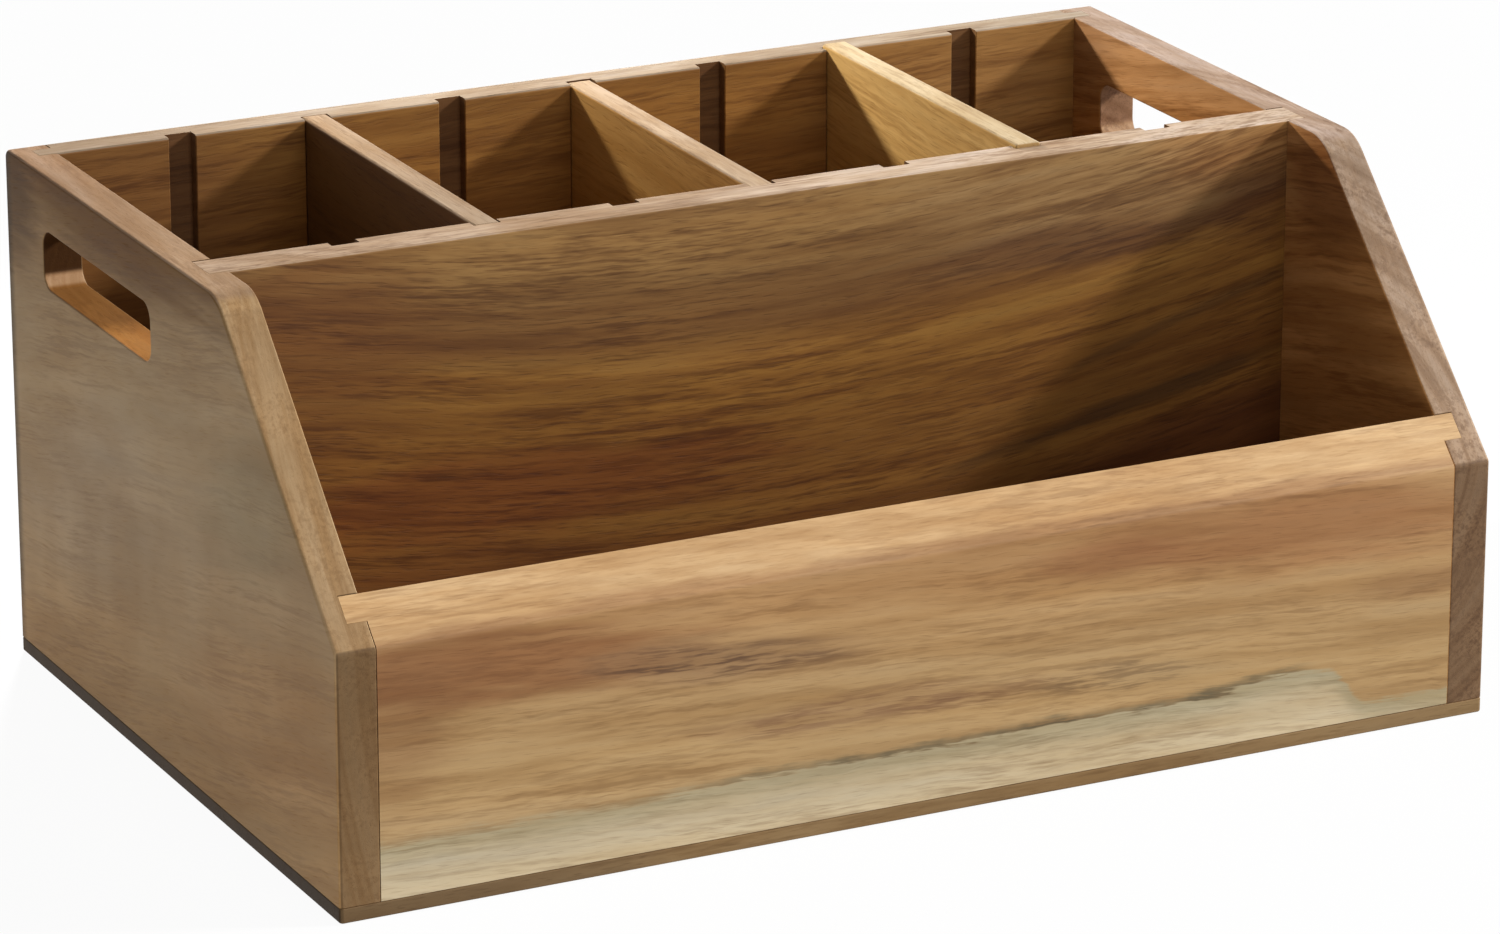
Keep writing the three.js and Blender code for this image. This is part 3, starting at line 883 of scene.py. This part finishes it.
def makePartition():
    outline = roundedOutline([
        (partHigh.y, boardBottom, 0), (partHigh.y, rim, panel["rimEase"]),
        (partLow.y, rim, panel["rimEase"]), (partLow.y, boardBottom, 0),
    ])
    piece = newPiece("rearPartition", prism(outline, "x", -tongueReach, tongueReach))
    material = woodMaterial("partitionWood", partitionLook)
    cutSlots(piece, material, partHigh.y, -1)
    smoothPiece(piece)
    finishPiece(piece, material, "caddy", "panel_wood", "partition")


makeBack()
makePartition()

divider = dict(rimEase=0.9 * mm, rimSteps=6, endEase=0.5 * mm)
dividerLook = dict(
    woodLook, turn=grainAlongY, axis=axisY, slope=0.05, pith=(-80 * mm, 60 * mm), endDepth=0.4,
)
dividers = [       # loose boards, not quite level with the rim
    # painted shade: this divider's bands are dark for the deep shade on its left face, on wood a little
    # darker than the others; its right face keeps its own colour
    dict(dividerLook, name="leftDivider", node="divider_1", body="left_divider", proud=0.1 * mm,
         seed=51.0, rimTint=(161, 138, 112), faceLightCopy=dict(axis=axisX, tint=(150, 110, 62)),
         bands=[(0, (84, 53, 20)), (100, (88, 56, 22)), (165, (95, 62, 28))]),
    dict(dividerLook, name="middleDivider", node="divider_2", body="middle_divider", proud=-0.3 * mm,
         seed=61.0, rimTint=(174, 153, 129),
         bands=[(0, (142, 102, 50)), (100, (160, 116, 57)), (165, (174, 131, 74))]),
    dict(dividerLook, name="rightDivider", node="divider_3", body="right_divider", proud=1.2 * mm,
         seed=71.0, rimTint=(202, 183, 150),
         bands=[(0, (167, 129, 72)), (100, (180, 140, 79)), (165, (188, 152, 94))]),
]


def makeDivider(look):
    low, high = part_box(look["node"])
    ease, top = divider["rimEase"], rim + look["proud"]
    corners = [(low.x, low.z, 0), (high.x, low.z, 0), (high.x, top, ease), (low.x, top, ease)]
    piece = newPiece(look["name"], prism(roundedOutline(corners, divider["rimSteps"]), "y", low.y, high.y))
    easeAround(piece, 1, divider["endEase"])
    smoothPiece(piece)
    finishPiece(piece, woodMaterial(look["name"] + "Wood", look), look["body"], "divider_wood", look["node"])


for each in dividers:
    makeDivider(each)


# base board and its screws

base = dict(cornerRound=1.2 * mm, cornerSteps=5, edgeRound=0.6 * mm)
baseLook = dict(
    woodLook, turn=(0.0, 0.0, 0.0), axis=axisX, seed=81.0, slope=0.02, waviness=6 * mm, ripple=0.8 * mm,
    # the dark end tint is partly the ply edge's own colour and partly painted shade for the contact shadow
    # along the bottom edge
    ringWidth=8 * mm, pith=(-200 * mm, 60 * mm), endDepth=0.9, endTint=(54, 40, 24), rimTint=(150, 116, 78),
    rimShare=0.3, sheen=0.12,
    bands=[(-120, (125, 100, 67)), (-40, (134, 106, 71)), (40, (125, 96, 63)), (120, (130, 102, 67))],
    patches=[patch((-170, -119), (110, 60), (98, 78, 54), strength=0.8, ragged=0.4)],
)
screw = dict(
    count=10, length=16 * mm, core=1.15 * mm, headRadius=3 * mm, headHeight=2 * mm, headEdge=0.15 * mm,
    point=3 * mm, driveSpan=3.2 * mm, driveWidth=0.8 * mm, driveDepth=1.1 * mm, driveAbove=1 * mm,
    threadTurns=9.0, threadRadius=1.2 * mm, threadSize=0.35 * mm, threadGap=1 * mm,
    threadSteps=16, threadSides=5,
    clearance=0.3 * mm, drillBelow=3 * mm, drillAbove=8 * mm,
)
steelLook = dict(
    speckle=(900, 900, 900), bright=(196, 194, 188), dull=(160, 156, 148),
    dullRange=(0.35, 0.7), roughRange=(0.3, 0.7, 0.28, 0.5),
)
screwNodes = ["base_screw_%d" % (number + 1) for number in range(screw["count"])]


def buildDrilled():
    tree, given, out = newTree("drilledHoles", "GeometryNodeTree", [
        ("Geometry", "Geometry", None), ("Places", "Object", None), ("Cutter", "Object", None),
        ("Wood", "Material", None),
    ], [("Geometry", "Geometry")])
    return finishTree(tree, out, cutCopies(tree, given, objectShape(tree, given["Places"])), given["Wood"])


def buildScrewSet():
    tree, given, out = newTree("screwSet", "GeometryNodeTree", [
        ("Geometry", "Geometry", None), ("Core", "Object", None), ("Turns", "Float", 9.0),
        ("Thread Radius", "Float", 0.001), ("Thread Start", "Float", 0.0), ("Thread Length", "Float", 0.01),
        ("Thread Size", "Float", 0.0003), ("Steel", "Material", None),
    ], [("Geometry", "Geometry")])
    spiral = addNode(tree, "GeometryNodeCurveSpiral", {
        "Resolution": screw["threadSteps"], "Rotations": given["Turns"], "Height": given["Thread Length"],
        "Start Radius": given["Thread Radius"], "End Radius": given["Thread Radius"],
    }).outputs[0]
    section = {"Resolution": screw["threadSides"], "Radius": given["Thread Size"]}
    ridge = addNode(tree, "GeometryNodeCurvePrimitiveCircle", section).outputs[0]
    sweep = {0: spiral, 1: ridge, "Fill Caps": True}
    thread = addNode(tree, "GeometryNodeTransform", {
        "Geometry": addNode(tree, "GeometryNodeCurveToMesh", sweep).outputs[0],
        "Translation": combine(tree, 0.0, 0.0, given["Thread Start"]),
    }).outputs[0]
    whole = tree.nodes.new("GeometryNodeJoinGeometry")
    for shape in (objectShape(tree, given["Core"]), thread):
        tree.links.new(shape, whole.inputs[0])
    return finishTree(tree, out, copyOnPoints(tree, given["Geometry"], whole.outputs[0]), given["Steel"])


def steelMaterial():
    material, tree = newMaterial("screwSteel")
    place = tree.nodes.new("ShaderNodeTexCoord").outputs["Object"]
    speckle = noise(tree, place, steelLook["speckle"], 3.0)
    dull = remap(tree, speckle, *steelLook["dullRange"])
    shader = addNode(tree, "ShaderNodeBsdfPrincipled", {
        "Base Color": blend(tree, dull, srgb(*steelLook["bright"]), srgb(*steelLook["dull"])),
        "Metallic": 1.0, "Roughness": remap(tree, speckle, *steelLook["roughRange"]),
    })
    addNode(tree, "ShaderNodeOutputMaterial", {"Surface": shader.outputs[0]})
    return material


def screwPlaces():
    shape = bmesh.new()
    for node in screwNodes:
        low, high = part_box(node)
        shape.verts.new(((low.x + high.x) / 2, (low.y + high.y) / 2, low.z))
    return newPiece("baseScrews", shape)


def makeBase(places):
    outline = roundedRectangle(baseLow, baseHigh, base["cornerRound"], base["cornerSteps"])
    piece = newPiece("baseBoard", prism(outline, "z", baseLow.z, baseHigh.z))
    easeAround(piece, 2, base["edgeRound"])
    wide, thin = screw["headRadius"] + screw["clearance"], screw["core"] + 2 * screw["clearance"]
    below, above = -screw["drillBelow"], screw["drillAbove"]
    countersink = newPiece("countersink", turnedShape([
        (0, below), (wide, below), (wide, 0.0), (thin, screw["headHeight"]), (thin, above), (0, above),
    ]))
    wood = woodMaterial("baseWood", baseLook)
    runTree(piece, buildDrilled(), {"Places": places, "Cutter": countersink, "Wood": wood})
    bpy.data.objects.remove(countersink)
    smoothPiece(piece)
    finishPiece(piece, wood, "caddy", "base_wood", "base_board")


def makeScrews(screws):
    radius, edge, shank = screw["headRadius"], screw["headEdge"], screw["length"] - screw["point"]
    core = newPiece("screwCore", turnedShape([
        (0, 0), (radius - edge, 0), (radius, edge), (screw["core"], screw["headHeight"]),
        (screw["core"], shank), (0, screw["length"]),
    ]))
    span, width = screw["driveSpan"] / 2, screw["driveWidth"] / 2
    for x, y in ((span, width), (width, span)):        # the two arms of the cross recess
        cutAway(core, block(bmesh.new(), (-x, -y, -screw["driveAbove"]), (x, y, screw["driveDepth"])))
    smoothPiece(core)
    steel = steelMaterial()
    threadStart = screw["headHeight"] + screw["threadGap"]
    runTree(screws, buildScrewSet(), {
        "Core": core, "Turns": screw["threadTurns"], "Thread Radius": screw["threadRadius"],
        "Thread Size": screw["threadSize"], "Thread Start": threadStart, "Thread Length": shank - threadStart,
        "Steel": steel,
    })
    bpy.data.objects.remove(core)
    finishPiece(screws, steel, "caddy", "screw_steel", *screwNodes)


baseScrews = screwPlaces()
makeBase(baseScrews)
makeScrews(baseScrews)


# studio

studio = dict(
    keyFrom=(0.778, -0.331, 0.50), keyDistance=6.0, keySize=(0.7, 0.7), keyLevel=1.38,
    rearPlace=(-55 * mm, 357 * mm, 283 * mm), rearSize=(0.03, 0.03), rearLevel=1.9,
    frontFrom=(0.05, -0.9, 0.43), frontDistance=2.2, frontSize=(0.8, 0.8), frontLevel=0.3,
    fillTint=(1.0, 0.98, 0.95, 1.0), fillHorizon=0.5, fillZenith=0.12, fillBreak=(0.08, 0.55),
    floorReach=4.0, floorDrop=0.3 * mm, floorTint=(0.8, 0.8, 0.8, 1.0), floorWhite=0.95, floorGlow=0.6,
)
middle = (cadLow + cadHigh) / 2


def aimObject(thing, place, ahead):
    thing.location = place
    thing.rotation_mode = "QUATERNION"
    thing.rotation_quaternion = ahead.to_track_quat("-Z", "Y")


def addLamp(name, place, aim, size, level):
    lamp = bpy.data.lights.new(name, "AREA")
    lamp.shape = "RECTANGLE"
    lamp.size, lamp.size_y = size
    ahead = aim - place
    # a facing surface shows its own colour at level 1
    lamp.energy = level * math.pi ** 2 * ahead.length ** 2
    holder = addObject(name, lamp)
    aimObject(holder, place, ahead)
    return holder


def makeLamps():
    for name in ("key", "front"):
        place = middle + Vector(studio[name + "From"]).normalized() * studio[name + "Distance"]
        addLamp(name + "Lamp", place, middle, studio[name + "Size"], studio[name + "Level"])
    place = Vector(studio["rearPlace"])
    aim = Vector((place.x, middle.y, middle.z))
    rear = addLamp("rearLamp", place, aim, studio["rearSize"], studio["rearLevel"])
    rear.visible_glossy = False


def seenDirectly(tree):
    path = tree.nodes.new("ShaderNodeLightPath").outputs
    seen = calc(tree, "MAXIMUM", path["Is Camera Ray"], path["Is Glossy Ray"])
    return calc(tree, "MAXIMUM", seen, path["Is Transmission Ray"])


def makeFloor():
    reach, level = studio["floorReach"], -studio["floorDrop"]
    shape = bmesh.new()
    corners = rectangle((-reach, -reach), (reach, reach))
    shape.faces.new([shape.verts.new((x, y, level)) for x, y in corners])
    floor = newPiece("floor", shape)
    material, tree = newMaterial("paleFloor")
    matt = addNode(tree, "ShaderNodeBsdfDiffuse", {"Color": studio["floorTint"]}).outputs[0]
    glow = addNode(tree, "ShaderNodeEmission", {"Color": white, "Strength": 1.0}).outputs[0]
    share = times(tree, seenDirectly(tree), studio["floorWhite"])
    above = mixShaders(tree, calc(tree, "MAXIMUM", share, studio["floorGlow"]), matt, glow)
    clear = tree.nodes.new("ShaderNodeBsdfTransparent").outputs[0]
    fromBelow = tree.nodes.new("ShaderNodeNewGeometry").outputs["Backfacing"]
    surface = mixShaders(tree, fromBelow, above, clear)
    addNode(tree, "ShaderNodeOutputMaterial", {"Surface": surface})
    floor.data.materials.append(material)


def makeWorld():
    world = bpy.data.worlds.new("studio")
    bpy.context.scene.world = world
    world.use_nodes = True
    tree = world.node_tree
    tree.nodes.clear()
    direction = tree.nodes.new("ShaderNodeTexCoord").outputs["Generated"]
    height = split(tree, direction)[2]
    level = remap(tree, height, *studio["fillBreak"], studio["fillHorizon"], studio["fillZenith"])
    fill = addNode(tree, "ShaderNodeBackground", {"Color": studio["fillTint"], "Strength": level}).outputs[0]
    plain = addNode(tree, "ShaderNodeBackground", {"Color": white, "Strength": 1.0}).outputs[0]
    addNode(tree, "ShaderNodeOutputWorld", {"Surface": mixShaders(tree, seenDirectly(tree), fill, plain)})


makeLamps()
makeFloor()
makeWorld()
print("studio ready")

camera = dict(
    place=(-0.853714, -1.712916, 0.718077), ahead=(0.423146, 0.846744, -0.322446), lens=166.983, sensor=36,
)


def makeCamera():
    lens = bpy.data.cameras.new("camera")
    lens.lens = camera["lens"]
    lens.sensor_width = camera["sensor"]
    holder = addObject("camera", lens)
    aimObject(holder, camera["place"], Vector(camera["ahead"]))
    bpy.context.scene.camera = holder


makeCamera()
bpy.context.scene.view_settings.view_transform = "Standard"
